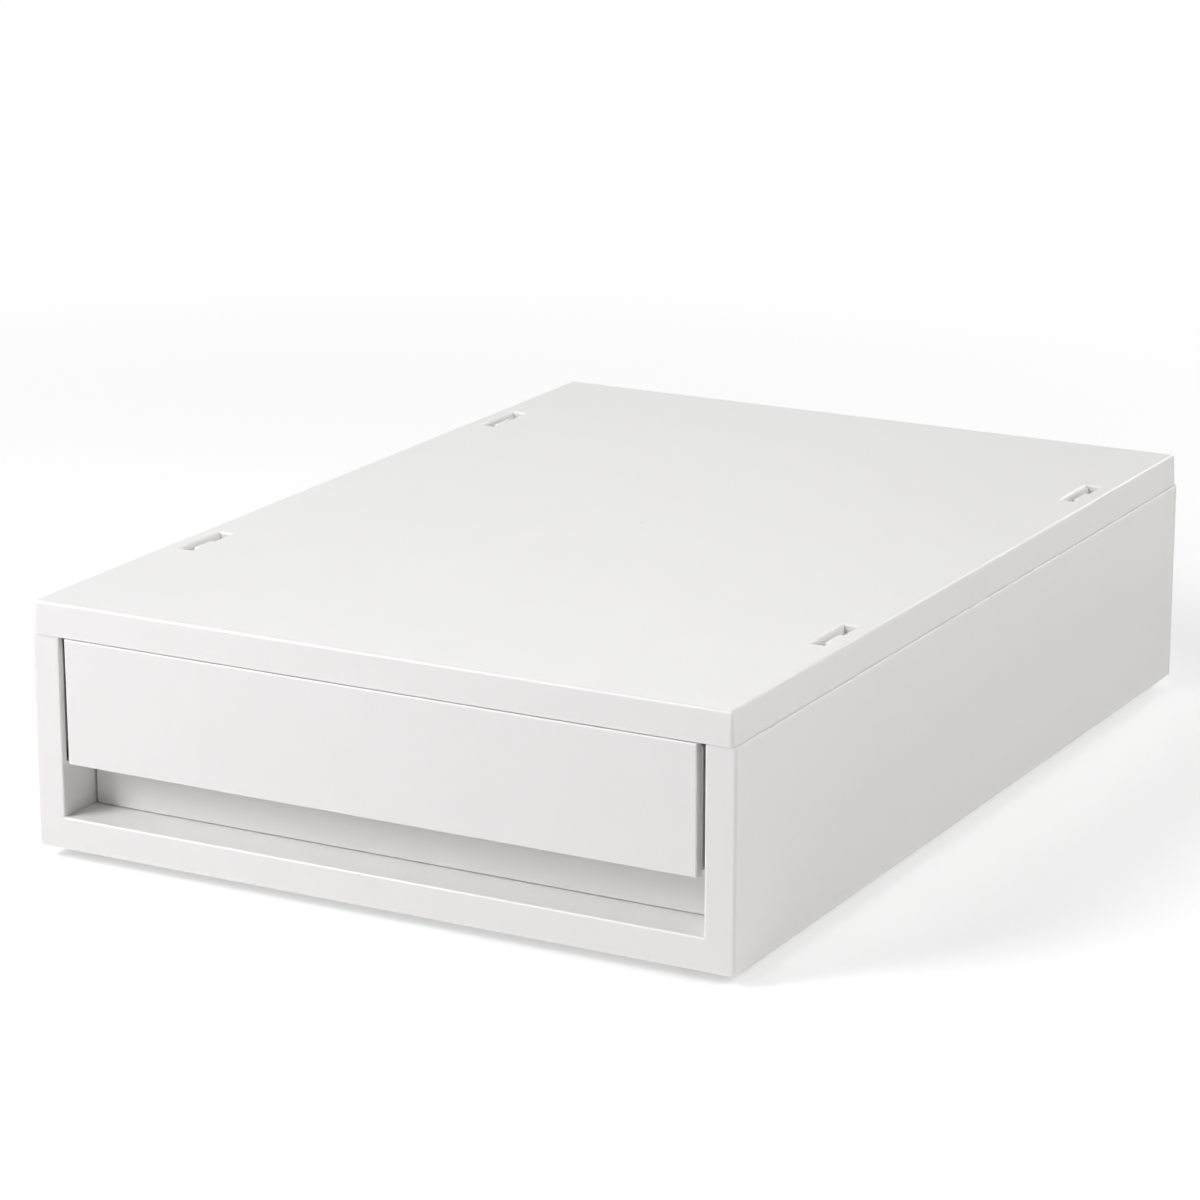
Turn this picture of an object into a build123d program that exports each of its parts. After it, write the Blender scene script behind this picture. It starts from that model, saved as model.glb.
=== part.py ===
import os

from build123d import *

# Stacking drawer case: a moulded tub, a top panel that snaps onto it, and a drawer with a clip-on front.
# Millimetres, +Z up, the front faces -Y, the origin is under the middle of the case where it stands.

# Sizes of the closed case, without the hooks below it and the edges that stand proud of its ends
case_width = 260.0
case_depth = 365.0
case_height = 85.0

# Case body
body_wall = 2.2
body_corner = 1.2
floor_wall = 2.2
rail_height = 11.0
stile_width = 10.75
stile_wall = 2.4
opening_round = 0.7
guide_wall = 2.0
under_rib_wall = 1.6
under_rib_height = 3.0
under_rib_x_pitch = 60.0
under_rib_x_count = 3
under_rib_y_pitch = 72.0
under_rib_y_count = 4
back_stop_wall = 2.0
back_stop_pitch = 150.0
back_stop_count = 2

# Top panel
lid_height = 11.5
lid_side_inset = 0.9
lid_end_overhang = 0.6
lid_wall = 1.8
lid_top_wall = 2.2
lid_draft = 3.0
lid_corner = 1.5
lid_top_round = 1.2
seam_chamfer = 0.2
lid_rib_wall = 1.6
lid_rib_height = 5.0
lid_rib_pitch = 80.0
lid_rib_count = 4
hold_down_inset = 3.5
hold_down_gap = 0.6
gate_radius = 0.7
gate_depth = 0.2

# Locating lip of the body, inside the skirt of the top panel
lip_wall = 1.6
lip_below = 4.0
lip_above = 3.0
lip_gap = 0.4
lip_front_setback = 14.0

# Snap arms of the top panel, which hook under the lip
snap_wall = 1.6
snap_width = 14.0
snap_gap = 0.3
snap_barb = 1.3
snap_barb_height = 4.0
side_snap_pitch = 142.0
side_snap_count = 3
back_snap_pitch = 80.0
back_snap_count = 3

# Stacking slots in the top, each with a tab on its right-hand side
slot_length = 25.0
slot_width = 5.1
slot_depth = 7.0
slot_rim_round = 0.8
slot_lead_round = 1.5
pocket_wall = 1.6
tab_start = 3.8
tab_length = 9.6
tab_reach = 1.7
slot_side_setback = 10.1
slot_front_setback = 88.8
slot_back_setback = 70.3

# Stacking hooks under the body, which slide below the tabs of the case underneath
hook_drop = 4.5
hook_length = 9.0
stack_gap = 0.3
hook_pad_margin = 2.0

# Drawer front
front_side_gap = 2.6
front_top_gap = 0.4
finger_height = 18.9
finger_depth = 17.5
front_lean = 0.35
front_wall = 2.0
front_return = 1.2
front_return_wall = 1.3
front_round = 0.5
collar_depth = 2.4
collar_step = 0.35
clip_gap = 0.3
clip_width = 8.0
clip_wall = 1.6
clip_barb = 0.9
clip_barb_length = 1.6
clip_pitch = 62.0
clip_count = 4

# Drawer tray
tray_side_gap = 0.5
tray_back_gap = 0.5
tray_snap_gap = 0.8
tray_wall = 2.0
tray_floor = 2.0
tray_corner = 1.2
tray_inner_corner = 4.0
tray_floor_round = 1.5
running_gap = 0.3
runner_height = 0.5
runner_width = 3.0
runner_inset = 14.0
runner_end_setback = 8.0

# Drawer stops: sprung tongues in the tray's sides with a lug behind the stiles
drawer_travel = 280.0
stop_gap = 0.3
stop_reach = 4.5
stop_lift = 0.5
stop_height = 7.0
stop_length = 9.0
tongue_width = 16.0
tongue_root_drop = 12.0
tongue_slit = 1.4

# Tolerance for picking faces and edges by their place
near = 0.01

# Levels
body_bottom = hook_drop
floor_top = body_bottom + rail_height
floor_bottom = floor_top - floor_wall
top_z = body_bottom + case_height
seam_z = top_z - lid_height
lid_ceiling = top_z - lid_top_wall
front_bottom = floor_top + finger_height
front_top = seam_z - front_top_gap
guide_top = front_bottom
tray_bottom = floor_top + running_gap + runner_height
tray_floor_z = tray_bottom + tray_floor
tray_top = front_top - front_return_wall - clip_gap
nose_bottom = front_bottom + front_return_wall + clip_gap
nose_floor_z = nose_bottom + tray_floor
clip_z = (nose_floor_z + tray_top) / 2
snap_barb_top = seam_z - lip_below - snap_gap
lug_bottom = guide_top + stop_lift
lug_top = lug_bottom + stop_height
tongue_root = lug_bottom - tongue_root_drop

# Places across the width and the depth
half_width = case_width / 2
front_y = -case_depth / 2
back_y = case_depth / 2
opening_half = half_width - stile_width
front_half = opening_half - front_side_gap
nose_half = front_half - front_return_wall - clip_gap
tray_half = opening_half - tray_side_gap
plate_top_y = front_y - lid_end_overhang
plate_back_y = plate_top_y + front_lean + front_wall
tray_front_y = front_y + finger_depth
lid_width = case_width - 2 * lid_side_inset
lid_depth = case_depth + 2 * lid_end_overhang
side_lip_outer = lid_side_inset + lid_wall + lip_gap
side_lip_inner = side_lip_outer + lip_wall
side_snap_inset = side_lip_inner + snap_gap
back_lip_outer = lid_wall - lid_end_overhang + lip_gap
back_lip_inner = back_lip_outer + lip_wall
back_snap_inset = back_lip_inner + snap_gap
tray_back_y = back_y - back_snap_inset - snap_wall - tray_snap_gap
tray_length = tray_back_y - tray_front_y
tray_mid_y = (tray_front_y + tray_back_y) / 2
nose_depth = tray_front_y - plate_back_y
clip_barb_y = plate_back_y + tray_wall + clip_gap
back_stop_depth = back_y - body_wall - tray_back_y - tray_back_gap
lug_front_y = front_y + stile_wall + drawer_travel + stop_gap
tongue_mid_y = lug_front_y + tongue_width / 2
slot_x = half_width - slot_side_setback
slot_ys = (front_y + slot_front_setback, back_y - slot_back_setback)
slot_places = [(x, y) for x in (-slot_x, slot_x) for y in slot_ys]
tab_mid = tab_start + tab_length / 2 - slot_length / 2
hook_neck_width = slot_width - tab_reach - 2 * stack_gap
hook_head_width = slot_width - 2 * stack_gap
hook_neck_height = lid_top_wall + stack_gap
hook_neck_mid = stack_gap + hook_neck_width / 2 - slot_width / 2


# Case body
with BuildPart() as case_body:
    with BuildSketch(Plane.XY.offset(body_bottom)):
        RectangleRounded(case_width, case_depth, body_corner)
    extrude(amount=seam_z - body_bottom)
    chamfer(case_body.faces().sort_by(Axis.Z)[-1].edges(), seam_chamfer)
    # Space for the drawer, above the floor and behind the stiles
    with BuildSketch(Plane.XY.offset(floor_top)):
        with Locations((0, (stile_wall - body_wall) / 2)):
            Rectangle(case_width - 2 * body_wall, case_depth - stile_wall - body_wall)
    extrude(amount=seam_z - floor_top, mode=Mode.SUBTRACT)
    # Mouth between the stiles
    with BuildSketch(Plane.XZ.offset(-front_y)):
        with Locations((0, (floor_top + seam_z) / 2)):
            Rectangle(2 * opening_half, seam_z - floor_top)
    extrude(amount=-stile_wall, mode=Mode.SUBTRACT)
    front_face = case_body.faces().filter_by(Axis.Y).sort_by(Axis.Y)[0]
    mouth_edges = front_face.edges().filter_by_position(Axis.X, -opening_half - near, opening_half + near)
    fillet(mouth_edges.filter_by_position(Axis.Z, floor_top - near, seam_z), opening_round)
    # Guide ribs on both sides of the drawer
    with BuildSketch(Plane.XY.offset(floor_top)):
        for side in (-1, 1):
            with Locations((side * (opening_half + guide_wall / 2), 0)):
                Rectangle(guide_wall, case_depth - 2 * body_wall)
    extrude(amount=guide_top - floor_top)
    # Ribs on the back wall that stop the closing drawer
    with BuildSketch(Plane.XY.offset(floor_top)):
        with Locations((0, back_y - body_wall - back_stop_depth / 2)):
            with GridLocations(back_stop_pitch, 0, back_stop_count, 1):
                Rectangle(back_stop_wall, back_stop_depth)
    extrude(amount=guide_top - floor_top)
    # Hollow underside with its ribs
    with BuildSketch(Plane.XY.offset(body_bottom)):
        Rectangle(case_width - 2 * body_wall, case_depth - 2 * body_wall)
    extrude(amount=floor_bottom - body_bottom, mode=Mode.SUBTRACT)
    with BuildSketch(Plane.XY.offset(floor_bottom - under_rib_height)):
        with GridLocations(under_rib_x_pitch, 0, under_rib_x_count, 1):
            Rectangle(under_rib_wall, case_depth - 2 * body_wall)
        with GridLocations(0, under_rib_y_pitch, 1, under_rib_y_count):
            Rectangle(case_width - 2 * body_wall, under_rib_wall)
    extrude(amount=under_rib_height)
    with BuildSketch(Plane.XY.offset(body_bottom)):
        for side in (-1, 1):
            with Locations((side * (opening_half + guide_wall / 2), 0)):
                Rectangle(guide_wall, case_depth - 2 * body_wall)
        with Locations(*[(x, y + tab_mid) for x, y in slot_places]):
            Rectangle(slot_width + 2 * hook_pad_margin, hook_length + 2 * hook_pad_margin)
    extrude(amount=floor_bottom - body_bottom)
    # Stacking hooks: a neck beside the tab, and a head that reaches below it
    with BuildSketch(Plane.XY.offset(body_bottom - hook_neck_height)):
        with Locations(*[(x + hook_neck_mid, y + tab_mid) for x, y in slot_places]):
            Rectangle(hook_neck_width, hook_length)
    extrude(amount=hook_neck_height)
    with BuildSketch():
        with Locations(*[(x, y + tab_mid) for x, y in slot_places]):
            Rectangle(hook_head_width, hook_length)
    extrude(amount=hook_drop - hook_neck_height)
    # Locating lip along the sides and the back
    for level, height, side_inset, back_inset in (
        (seam_z - lip_below, lip_below, body_wall, body_wall),
        (seam_z, lip_above, side_lip_outer, back_lip_outer),
    ):
        with BuildSketch(Plane.XY.offset(level)):
            Rectangle(case_width - 2 * side_inset, case_depth - 2 * back_inset)
            Rectangle(
                case_width - 2 * side_lip_inner, case_depth - 2 * back_lip_inner, mode=Mode.SUBTRACT
            )
            with Locations((0, front_y)):
                Rectangle(case_width, 2 * lip_front_setback, mode=Mode.SUBTRACT)
        extrude(amount=height)
case_body.part.label = "case_body"


# Top panel
with BuildPart() as top_panel:
    with BuildSketch(Plane.XY.offset(seam_z)):
        RectangleRounded(lid_width, lid_depth, lid_corner)
    extrude(amount=lid_height, taper=lid_draft)
    fillet(top_panel.faces().sort_by(Axis.Z)[-1].edges(), lid_top_round)
    with BuildSketch(Plane.XY.offset(seam_z)):
        Rectangle(lid_width - 2 * lid_wall, lid_depth - 2 * lid_wall)
    extrude(amount=lid_height - lid_top_wall, taper=lid_draft, mode=Mode.SUBTRACT)
    # Ribs below the panel: across, and above the tray's sides to hold the drawer down
    with BuildSketch(Plane.XY.offset(lid_ceiling - lid_rib_height)):
        with GridLocations(0, lid_rib_pitch, 1, lid_rib_count):
            Rectangle(2 * opening_half, lid_rib_wall)
    extrude(amount=lid_rib_height)
    with BuildSketch(Plane.XY.offset(tray_top + hold_down_gap)):
        for side in (-1, 1):
            with Locations((side * (tray_half - hold_down_inset), tray_mid_y)):
                Rectangle(lid_rib_wall, tray_length - 2 * runner_end_setback)
    extrude(amount=lid_ceiling - tray_top - hold_down_gap)
    # Pockets of the stacking slots
    with BuildSketch(Plane.XY.offset(top_z - slot_depth - pocket_wall)):
        with Locations(*slot_places):
            Rectangle(slot_width + 2 * pocket_wall, slot_length + 2 * pocket_wall)
    extrude(amount=lid_ceiling - top_z + slot_depth + pocket_wall)
    with BuildSketch(Plane.XY.offset(top_z - slot_depth)):
        with Locations(*slot_places):
            Rectangle(slot_width, slot_length)
    extrude(amount=slot_depth - lid_top_wall, mode=Mode.SUBTRACT)
    with BuildSketch(Plane.XY.offset(lid_ceiling)):
        with Locations(*slot_places):
            Rectangle(slot_width, slot_length)
        with Locations(*[(x + (slot_width - tab_reach) / 2, y + tab_mid) for x, y in slot_places]):
            Rectangle(tab_reach, tab_length, mode=Mode.SUBTRACT)
    extrude(amount=lid_top_wall, mode=Mode.SUBTRACT)
    # Generous rounding where the hook drops in, on the side away from the tab, and a small one round the rest
    top_face = top_panel.faces().filter_by(Plane.XY).sort_by(Axis.Z)[-1]
    lead_edges = top_face.inner_wires().edges().filter_by(GeomType.LINE).group_by(SortBy.LENGTH)[-1]
    fillet(lead_edges, slot_lead_round)
    top_face = top_panel.faces().filter_by(Plane.XY).sort_by(Axis.Z)[-1]
    lead_sides = [x - slot_width / 2 - slot_lead_round for x in (-slot_x, slot_x)]
    rim_edges = top_face.inner_wires().edges().filter_by(
        lambda edge: all(abs(edge.center().X - side) > near for side in lead_sides)
    )
    fillet(rim_edges, slot_rim_round)
    # Mark of the sprue in the middle of the panel
    with BuildSketch(Plane.XY.offset(top_z - gate_depth)):
        Circle(gate_radius)
    extrude(amount=gate_depth, mode=Mode.SUBTRACT)
    # Snap arms along the sides and the back
    arm_outline = [
        (0, lid_ceiling),
        (0, snap_barb_top),
        (snap_barb, snap_barb_top),
        (0, snap_barb_top - snap_barb_height),
        (-snap_wall, snap_barb_top - snap_barb_height),
        (-snap_wall, lid_ceiling),
    ]
    for place in GridLocations(0, side_snap_pitch, 1, side_snap_count):
        with BuildSketch(Plane.XZ.offset(-place.position.Y)):
            with BuildLine():
                Polyline([(half_width - side_snap_inset + u, z) for u, z in arm_outline], close=True)
            make_face()
            mirror(about=Plane.YZ)
        extrude(amount=snap_width / 2, both=True)
    for place in GridLocations(back_snap_pitch, 0, back_snap_count, 1):
        with BuildSketch(Plane.YZ.offset(place.position.X)):
            with BuildLine():
                Polyline([(back_y - back_snap_inset + u, z) for u, z in arm_outline], close=True)
            make_face()
        extrude(amount=snap_width / 2, both=True)
top_panel.part.label = "top_panel"


# Drawer tray
with BuildPart() as drawer_tray:
    with BuildSketch(Plane.XY.offset(tray_bottom)):
        with Locations((0, tray_mid_y)):
            RectangleRounded(2 * tray_half, tray_length, tray_corner)
    extrude(amount=tray_top - tray_bottom)
    # Nose above the finger space, which carries the front plate
    with BuildSketch(Plane.XY.offset(nose_bottom)):
        with Locations((0, plate_back_y + nose_depth / 2 + tray_corner / 2)):
            Rectangle(2 * nose_half, nose_depth + tray_corner)
    extrude(amount=tray_top - nose_bottom)
    # Collar behind the plate, a little wider than it
    with BuildSketch(Plane.XY.offset(nose_bottom)):
        with Locations((0, plate_back_y + front_return + collar_depth / 2)):
            Rectangle(2 * (front_half + collar_step), collar_depth)
    extrude(amount=tray_top - nose_bottom)
    # Inside of the tray, and of the nose above its shelf
    with BuildSketch(Plane.XY.offset(tray_floor_z)):
        with Locations((0, tray_mid_y)):
            RectangleRounded(2 * (tray_half - tray_wall), tray_length - 2 * tray_wall, tray_inner_corner)
    extrude(amount=tray_top - tray_floor_z, mode=Mode.SUBTRACT)
    inside_floor = drawer_tray.faces().filter_by_position(Axis.Z, tray_floor_z - near, tray_floor_z + near)
    fillet(inside_floor.edges(), tray_floor_round)
    with BuildSketch(Plane.XY.offset(nose_floor_z)):
        with Locations((0, plate_back_y + tray_wall + nose_depth / 2)):
            Rectangle(2 * (nose_half - tray_wall), nose_depth)
    extrude(amount=tray_top - nose_floor_z, mode=Mode.SUBTRACT)
    # Runners on the underside, and a foot along the front that hides them
    with BuildSketch(Plane.XY.offset(tray_bottom - runner_height)):
        for side in (-1, 1):
            with Locations((side * (tray_half - runner_inset), tray_mid_y)):
                SlotOverall(tray_length - 2 * runner_end_setback, runner_width, rotation=90)
        with Locations((0, tray_front_y + tray_wall / 2)):
            Rectangle(2 * (tray_half - tray_corner), tray_wall)
    extrude(amount=runner_height)
    # Windows for the clips of the front plate
    with BuildSketch(Plane.XZ.offset(-plate_back_y)):
        with Locations((0, clip_z)):
            with GridLocations(clip_pitch, 0, clip_count, 1):
                Rectangle(clip_width + 2 * clip_gap, clip_wall + 2 * clip_gap)
    extrude(amount=-tray_wall, mode=Mode.SUBTRACT)
    # Sprung stop tongues with their lugs
    for side in (-1, 1):
        with BuildSketch(Plane.YZ.offset(side * (tray_half - tray_wall / 2))):
            with Locations((tongue_mid_y, (tongue_root + lug_top + tongue_slit) / 2)):
                Rectangle(tongue_width + 2 * tongue_slit, lug_top + tongue_slit - tongue_root)
            with Locations((tongue_mid_y, (tongue_root + lug_top) / 2)):
                Rectangle(tongue_width, lug_top - tongue_root, mode=Mode.SUBTRACT)
        extrude(amount=tray_wall, both=True, mode=Mode.SUBTRACT)
        with BuildSketch(Plane.XY.offset(lug_bottom)):
            with BuildLine():
                Polyline(
                    (side * (tray_half - tray_wall / 2), lug_front_y),
                    (side * (tray_half + stop_reach), lug_front_y),
                    (side * tray_half, lug_front_y + stop_length),
                    (side * (tray_half - tray_wall / 2), lug_front_y + stop_length),
                    close=True,
                )
            make_face()
        extrude(amount=stop_height)
drawer_tray.part.label = "drawer_tray"


# Drawer front
with BuildPart() as drawer_front:
    with BuildSketch(Plane.YZ):
        with BuildLine():
            Polyline(
                (plate_top_y, front_top),
                (plate_top_y + front_lean, front_bottom),
                (plate_back_y + front_return, front_bottom),
                (plate_back_y + front_return, front_top),
                close=True,
            )
        make_face()
    extrude(amount=front_half, both=True)
    fillet(drawer_front.faces().sort_by(Axis.Y)[0].edges(), front_round)
    with BuildSketch(Plane.XZ.offset(-plate_back_y - front_return)):
        with Locations((0, (front_bottom + front_top) / 2)):
            Rectangle(
                2 * (front_half - front_return_wall), front_top - front_bottom - 2 * front_return_wall
            )
    extrude(amount=front_return, mode=Mode.SUBTRACT)
    # Clips through the nose of the tray
    for place in GridLocations(clip_pitch, 0, clip_count, 1):
        with BuildSketch(Plane.YZ.offset(place.position.X)):
            with BuildLine():
                Polyline(
                    (plate_back_y, clip_z - clip_wall / 2),
                    (clip_barb_y + clip_barb_length, clip_z - clip_wall / 2),
                    (clip_barb_y + clip_barb_length, clip_z + clip_wall / 2),
                    (clip_barb_y, clip_z + clip_wall / 2 + clip_barb),
                    (clip_barb_y, clip_z + clip_wall / 2),
                    (plate_back_y, clip_z + clip_wall / 2),
                    close=True,
                )
            make_face()
        extrude(amount=clip_width / 2, both=True)
drawer_front.part.label = "drawer_front"


os.makedirs("parts", exist_ok=True)
for piece in (case_body, top_panel, drawer_tray, drawer_front):
    export_step(piece.part, f"parts/{piece.part.label}.step")
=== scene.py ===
import math

import bpy
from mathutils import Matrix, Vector

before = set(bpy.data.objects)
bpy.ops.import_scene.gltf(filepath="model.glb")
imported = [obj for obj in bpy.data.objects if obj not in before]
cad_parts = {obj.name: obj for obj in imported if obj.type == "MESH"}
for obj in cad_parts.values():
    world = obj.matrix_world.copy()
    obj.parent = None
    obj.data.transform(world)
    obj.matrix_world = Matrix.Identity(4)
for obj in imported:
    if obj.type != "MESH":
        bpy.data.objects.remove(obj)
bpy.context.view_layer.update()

# Stacking drawer case in satin white plastic. Metres, +Z up, the front faces -Y.

# Camera: where it stands, which way it looks, and its lens
CAMERA_PLACE = (0.67136, -1.26132, 0.46773)
CAMERA_AZIMUTH = math.radians(28.601)
CAMERA_ELEVATION = math.radians(15.885)
CAMERA_LENS_MM = 126.42
CAMERA_SENSOR_MM = 36.0

# Studio: a room that looks white and gives no light, and a pale floor that fades into it
ROOM_WHITE = (1.0, 1.0, 1.0, 1.0)
FLOOR_HALF_SIZE = 12.0
FLOOR_PAPER = (0.86, 0.86, 0.86, 1.0)
FLOOR_LIFT = 0.36
FLOOR_FADE_FROM = 0.35
FLOOR_FADE_TO = 1.0
FLOOR_OPEN_RADIUS = 0.225

# Lamps: soft squares turned to the case, with their place, side in metres, power in watts and tint.
# The one below lights the underside for views from below, through the open round of floor under the case.
LAMP_AIM = (0.0, -0.05, 0.05)
FRONT_TINT = (0.99, 0.982, 1.0)
PLAIN_TINT = (1.0, 1.0, 1.0)
LAMPS = {
    "front_left_lamp": {"place": (-0.9, -1.25, 0.8), "size": 0.7, "power": 14.5, "tint": FRONT_TINT},
    "high_left_lamp": {"place": (-0.85, -0.95, 1.1), "size": 0.7, "power": 8.8, "tint": FRONT_TINT},
    "front_right_lamp": {"place": (1.3, -1.5, 0.8), "size": 0.8, "power": 1.6, "tint": FRONT_TINT},
    "right_lamp": {"place": (1.48, 0.0, 1.1), "size": 0.8, "power": 14.6, "tint": PLAIN_TINT},
    "back_lamp": {"place": (0.2, 1.7, 1.0), "size": 0.8, "power": 7.8, "tint": PLAIN_TINT},
    "back_left_lamp": {"place": (-0.9, 1.4, 1.2), "size": 0.8, "power": 4.2, "tint": PLAIN_TINT},
    "under_lamp": {"place": (0.0, 0.0, -2.5), "size": 0.2, "power": 9.0, "tint": PLAIN_TINT},
}

# Plastic, colour: white, the duller white of its slow clouds, and a brighter white along edges that is a
# painted highlight
WHITE = (0.872, 0.864, 0.849, 1.0)
CLOUD_WHITE = (0.858, 0.851, 0.837, 1.0)
PAINTED_EDGE_HIGHLIGHT = (0.93, 0.926, 0.917, 1.0)
CLOUD_SCALE = 9.0
CLOUD_DETAIL = 3.0
CLOUD_ROUGHNESS = 0.55

# Plastic, inside: how deep light scatters, the same for red, green and blue
SCATTER_WEIGHT = 1.0
SCATTER_DEPTH = 0.0004
SCATTER_RATIO = (1.0, 1.0, 1.0)

# Plastic, sheen: roughness of the smoothest and roughest patches of the shell and of the tray, the range of
# the noise that spreads the patches, and how much smoother edges are
SHELL_ROUGHNESS = (0.32, 0.40)
TRAY_ROUGHNESS = (0.30, 0.38)
SHEEN_SCALE = 45.0
SHEEN_DETAIL = 2.0
SHEEN_NOISE_RANGE = (0.3, 0.7)
EDGE_GLOSS = 0.14

# Plastic, edges: the radius that shading softens them by, the reach of the inward rays that find them,
# and the share of these rays that stay in the plastic on a flat face and on a full edge
SOFT_EDGE_RADIUS = 0.00035
SOFT_EDGE_RAYS = 4
EDGE_REACH = 0.0009
EDGE_RAYS = 6
FLAT_SHARE = 0.97
EDGE_SHARE = 0.55

# Plastic, relief: moulded grain on a slow waviness
GRAIN_SCALE = 2400.0
GRAIN_DETAIL = 2.0
GRAIN_RELIEF = 0.00003
WAVE_SCALE = 26.0
WAVE_DETAIL = 1.0
WAVE_RELIEF = 0.00025


def node(tree, kind, **settings):
    """Adds one shader node, and sets its properties and input values by name."""
    made = tree.nodes.new(kind)
    for key, value in settings.items():
        if key in made.inputs:
            made.inputs[key].default_value = value
        else:
            setattr(made, key, value)
    return made


def new_tree(owner, output_kind):
    """An emptied node tree with only its output node."""
    owner.use_nodes = True
    tree = owner.node_tree
    tree.nodes.clear()
    return tree, node(tree, output_kind)


def noise(tree, place, scale, detail, **settings):
    """A noise of the given scale in the piece's own coordinates."""
    made = node(tree, "ShaderNodeTexNoise", Scale=scale, Detail=detail, **settings)
    tree.links.new(place, made.inputs["Vector"])
    return made.outputs["Fac"]


def blend(tree, amount, first, second):
    """A mix of two colours, each a value or an output of another node."""
    mix = node(tree, "ShaderNodeMix", data_type="RGBA")
    tree.links.new(amount, mix.inputs["Factor"])
    sockets = [s for s in mix.inputs if s.type == "RGBA"]
    for socket, colour in zip(sockets, (first, second)):
        if isinstance(colour, tuple):
            socket.default_value = colour
        else:
            tree.links.new(colour, socket)
    return [s for s in mix.outputs if s.type == "RGBA"][0]


def edge_mask(tree):
    """0 on flat plastic and 1 along its outer edges, where rays sent inwards soon leave it again."""
    inward_rays = node(
        tree,
        "ShaderNodeAmbientOcclusion",
        samples=EDGE_RAYS,
        inside=True,
        only_local=True,
        Distance=EDGE_REACH,
    )
    mask = node(tree, "ShaderNodeMapRange", **{"From Min": FLAT_SHARE, "From Max": EDGE_SHARE})
    tree.links.new(inward_rays.outputs["AO"], mask.inputs["Value"])
    return mask.outputs["Result"]


def patchy_roughness(tree, place, edge, smoothest, roughest):
    """Roughness that wanders between two values in patches, and drops along edges that hands polish."""
    low, high = SHEEN_NOISE_RANGE
    limits = {"From Min": low, "From Max": high, "To Min": smoothest, "To Max": roughest}
    sheen = node(tree, "ShaderNodeMapRange", **limits)
    tree.links.new(noise(tree, place, SHEEN_SCALE, SHEEN_DETAIL), sheen.inputs["Value"])
    polished = node(tree, "ShaderNodeMath", operation="MULTIPLY_ADD")
    tree.links.new(edge, polished.inputs[0])
    polished.inputs[1].default_value = -EDGE_GLOSS
    tree.links.new(sheen.outputs["Result"], polished.inputs[2])
    return polished.outputs[0]


def moulded_relief(tree, place):
    """Normal of softened edges with a slow waviness, and on it a spark-eroded grain of about half a
    millimetre."""
    soft_edge = node(tree, "ShaderNodeBevel", samples=SOFT_EDGE_RAYS, Radius=SOFT_EDGE_RADIUS)
    normal = soft_edge.outputs["Normal"]
    layers = (
        (WAVE_SCALE, WAVE_DETAIL, WAVE_RELIEF),
        (GRAIN_SCALE, GRAIN_DETAIL, GRAIN_RELIEF),
    )
    for scale, detail, relief in layers:
        bump = node(tree, "ShaderNodeBump", Strength=1.0, Distance=relief)
        tree.links.new(noise(tree, place, scale, detail), bump.inputs["Height"])
        tree.links.new(normal, bump.inputs["Normal"])
        normal = bump.outputs["Normal"]
    return normal


def moulded_plastic(name, smoothest, roughest):
    """Satin moulded plastic that scatters light just below its surface. White, drifting to a duller
    white in slow clouds and brighter along the edges as a painted highlight, with patchy sheen and moulded
    grain."""
    material = bpy.data.materials.new(name)
    tree, out = new_tree(material, "ShaderNodeOutputMaterial")
    link = tree.links.new
    shader = node(
        tree,
        "ShaderNodeBsdfPrincipled",
        subsurface_method="RANDOM_WALK",
        **{
            "Subsurface Weight": SCATTER_WEIGHT,
            "Subsurface Radius": SCATTER_RATIO,
            "Subsurface Scale": SCATTER_DEPTH,
        },
    )
    place = node(tree, "ShaderNodeTexCoord").outputs["Object"]
    edge = edge_mask(tree)
    clouds = noise(tree, place, CLOUD_SCALE, CLOUD_DETAIL, Roughness=CLOUD_ROUGHNESS)
    clouded = blend(tree, clouds, WHITE, CLOUD_WHITE)
    # The edges are lightened towards a paler white: a painted highlight
    link(blend(tree, edge, clouded, PAINTED_EDGE_HIGHLIGHT), shader.inputs["Base Color"])
    link(patchy_roughness(tree, place, edge, smoothest, roughest), shader.inputs["Roughness"])
    link(moulded_relief(tree, place), shader.inputs["Normal"])
    link(shader.outputs["BSDF"], out.inputs["Surface"])
    return material


def either(tree, first, second):
    """1 where one or both of two values are 1."""
    larger = node(tree, "ShaderNodeMath", operation="MAXIMUM")
    tree.links.new(first, larger.inputs[0])
    tree.links.new(second, larger.inputs[1])
    return larger.outputs[0]


def seen_directly(tree):
    """1 for rays from the camera, off a mirror or through glass, 0 for the rays that carry light."""
    path = node(tree, "ShaderNodeLightPath").outputs
    seen = either(tree, path["Is Camera Ray"], path["Is Glossy Ray"])
    return either(tree, seen, path["Is Transmission Ray"])


def mixed_shader(tree, amount, first, second):
    """The first shader where the amount is 0, the second where it is 1."""
    mix = node(tree, "ShaderNodeMixShader")
    tree.links.new(amount, mix.inputs["Fac"])
    tree.links.new(first.outputs[0], mix.inputs[1])
    tree.links.new(second.outputs[0], mix.inputs[2])
    return mix


def studio_room():
    """The room: white where it is seen, dark for the rays that carry light."""
    world = bpy.data.worlds.new("white_room")
    bpy.context.scene.world = world
    tree, out = new_tree(world, "ShaderNodeOutputWorld")
    room = node(tree, "ShaderNodeBackground", Color=ROOM_WHITE)
    tree.links.new(seen_directly(tree), room.inputs["Strength"])
    tree.links.new(room.outputs[0], out.inputs["Surface"])


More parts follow.
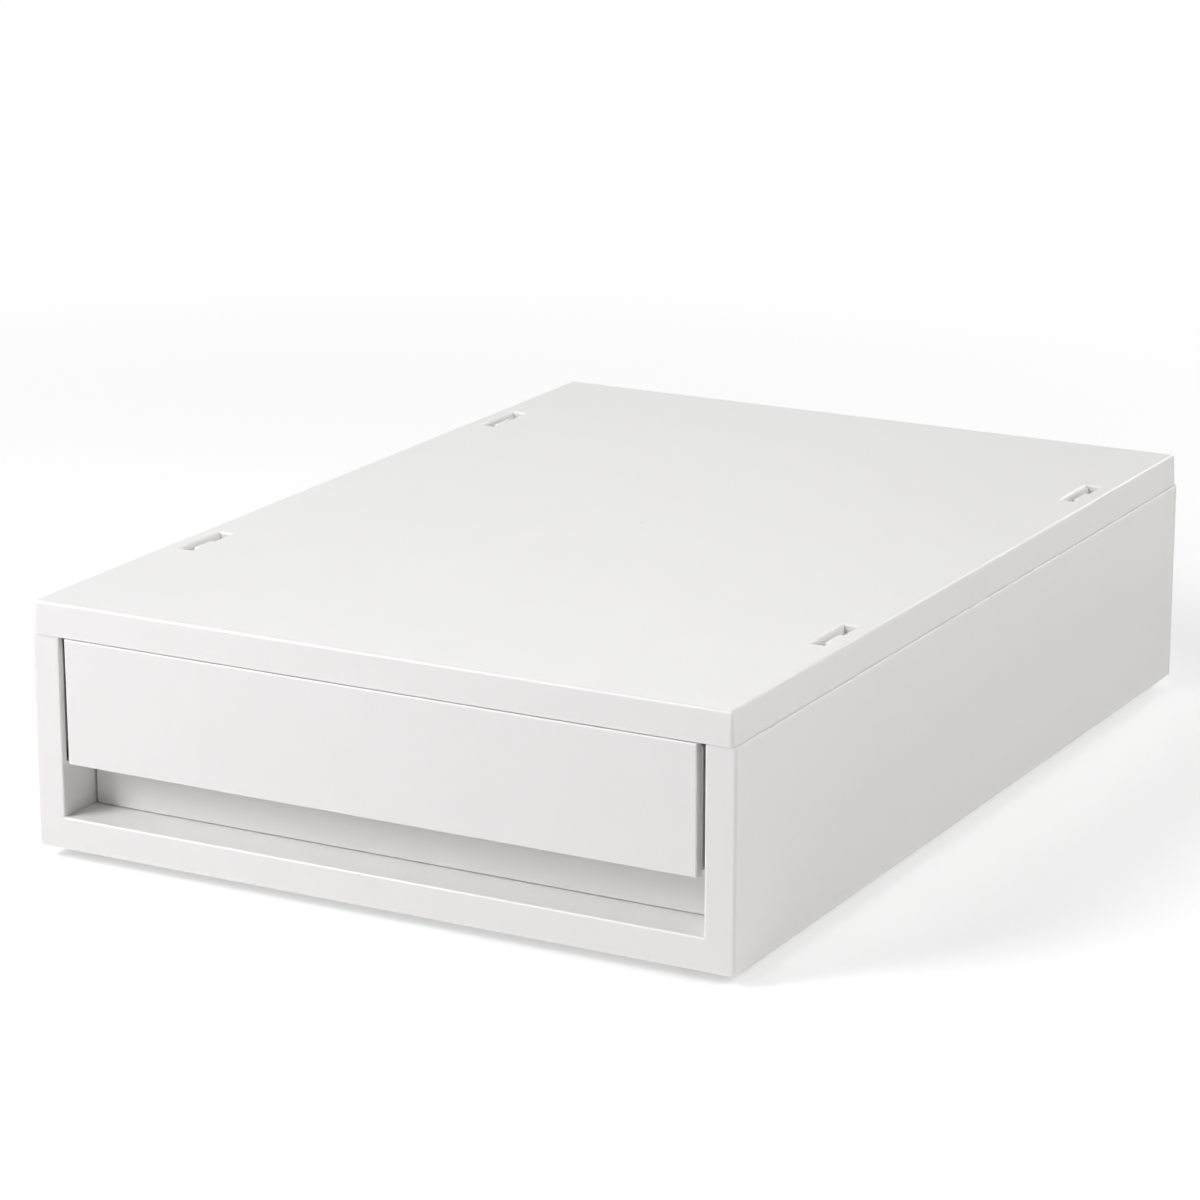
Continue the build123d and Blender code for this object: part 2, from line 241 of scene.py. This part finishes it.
def floor_paper():
    """Pale matt paper. Where it is seen it is lifted towards white, and fades to white with the distance
    from the case. A view from below looks through it, and under the case it lets a lamp below shine up."""
    material = bpy.data.materials.new("floor_paper")
    tree, out = new_tree(material, "ShaderNodeOutputMaterial")
    link = tree.links.new
    reach = node(tree, "ShaderNodeVectorMath", operation="LENGTH")
    link(node(tree, "ShaderNodeTexCoord").outputs["Object"], reach.inputs[0])
    distance = reach.outputs["Value"]

    paper = node(tree, "ShaderNodeBsdfDiffuse", Color=FLOOR_PAPER)
    lift = node(tree, "ShaderNodeEmission", Color=ROOM_WHITE, Strength=FLOOR_LIFT)
    lifted = node(tree, "ShaderNodeAddShader")
    link(paper.outputs[0], lifted.inputs[0])
    link(lift.outputs[0], lifted.inputs[1])
    limits = {"From Min": FLOOR_FADE_FROM, "From Max": FLOOR_FADE_TO}
    fade = node(tree, "ShaderNodeMapRange", interpolation_type="SMOOTHSTEP", **limits)
    link(distance, fade.inputs["Value"])
    white = node(tree, "ShaderNodeEmission", Color=ROOM_WHITE, Strength=1.0)
    faded = mixed_shader(tree, fade.outputs["Result"], lifted, white)
    upper_side = mixed_shader(tree, seen_directly(tree), paper, faded)

    under_case = node(tree, "ShaderNodeMath", operation="LESS_THAN")
    link(distance, under_case.inputs[0])
    under_case.inputs[1].default_value = FLOOR_OPEN_RADIUS
    lit_from_below = node(tree, "ShaderNodeMath", operation="MULTIPLY")
    link(under_case.outputs[0], lit_from_below.inputs[0])
    link(node(tree, "ShaderNodeLightPath").outputs["Is Shadow Ray"], lit_from_below.inputs[1])
    lower_side = node(tree, "ShaderNodeNewGeometry").outputs["Backfacing"]
    let_through = either(tree, lower_side, lit_from_below.outputs[0])
    clear = node(tree, "ShaderNodeBsdfTransparent")
    one_sided = mixed_shader(tree, let_through, upper_side, clear)
    link(one_sided.outputs[0], out.inputs["Surface"])
    return material


def studio_floor():
    """One large square at the level that the case stands on."""
    half = FLOOR_HALF_SIZE
    corners = [(-half, -half, 0), (half, -half, 0), (half, half, 0), (-half, half, 0)]
    mesh = bpy.data.meshes.new("floor")
    mesh.from_pydata(corners, [], [(0, 1, 2, 3)])
    mesh.materials.append(floor_paper())
    floor = bpy.data.objects.new("floor", mesh)
    bpy.context.scene.collection.objects.link(floor)


def turned_along(ray):
    """Turn of a lamp or camera that looks along a ray."""
    return ray.to_track_quat("-Z", "Y").to_euler()


def studio_lamps():
    """Square soft lamps, each turned to the middle of the case."""
    for name, lamp in LAMPS.items():
        light = bpy.data.lights.new(name, "AREA")
        light.size = lamp["size"]
        light.energy = lamp["power"]
        light.color = lamp["tint"]
        holder = bpy.data.objects.new(name, light)
        bpy.context.scene.collection.objects.link(holder)
        holder.location = lamp["place"]
        holder.rotation_euler = turned_along(Vector(LAMP_AIM) - Vector(lamp["place"]))


def photo_camera():
    """The camera, level, looking back along its azimuth and elevation."""
    camera = bpy.data.cameras.new("camera")
    camera.lens = CAMERA_LENS_MM
    camera.sensor_width = CAMERA_SENSOR_MM
    holder = bpy.data.objects.new("camera", camera)
    bpy.context.scene.collection.objects.link(holder)
    holder.location = CAMERA_PLACE
    flat = math.cos(CAMERA_ELEVATION)
    sideways = -math.sin(CAMERA_AZIMUTH) * flat
    forwards = math.cos(CAMERA_AZIMUTH) * flat
    holder.rotation_euler = turned_along(Vector((sideways, forwards, -math.sin(CAMERA_ELEVATION))))
    bpy.context.scene.camera = holder


shell_finish = moulded_plastic("shell_satin", *SHELL_ROUGHNESS)
tray_finish = moulded_plastic("tray_satin", *TRAY_ROUGHNESS)
FINISHES = {
    "case_body": shell_finish,
    "top_panel": shell_finish,
    "drawer_front": shell_finish,
    "drawer_tray": tray_finish,
}
for name, finish in FINISHES.items():
    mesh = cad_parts[name].data
    mesh.materials.clear()
    mesh.materials.append(finish)

studio_room()
studio_floor()
studio_lamps()
photo_camera()
bpy.context.scene.view_settings.view_transform = "Standard"
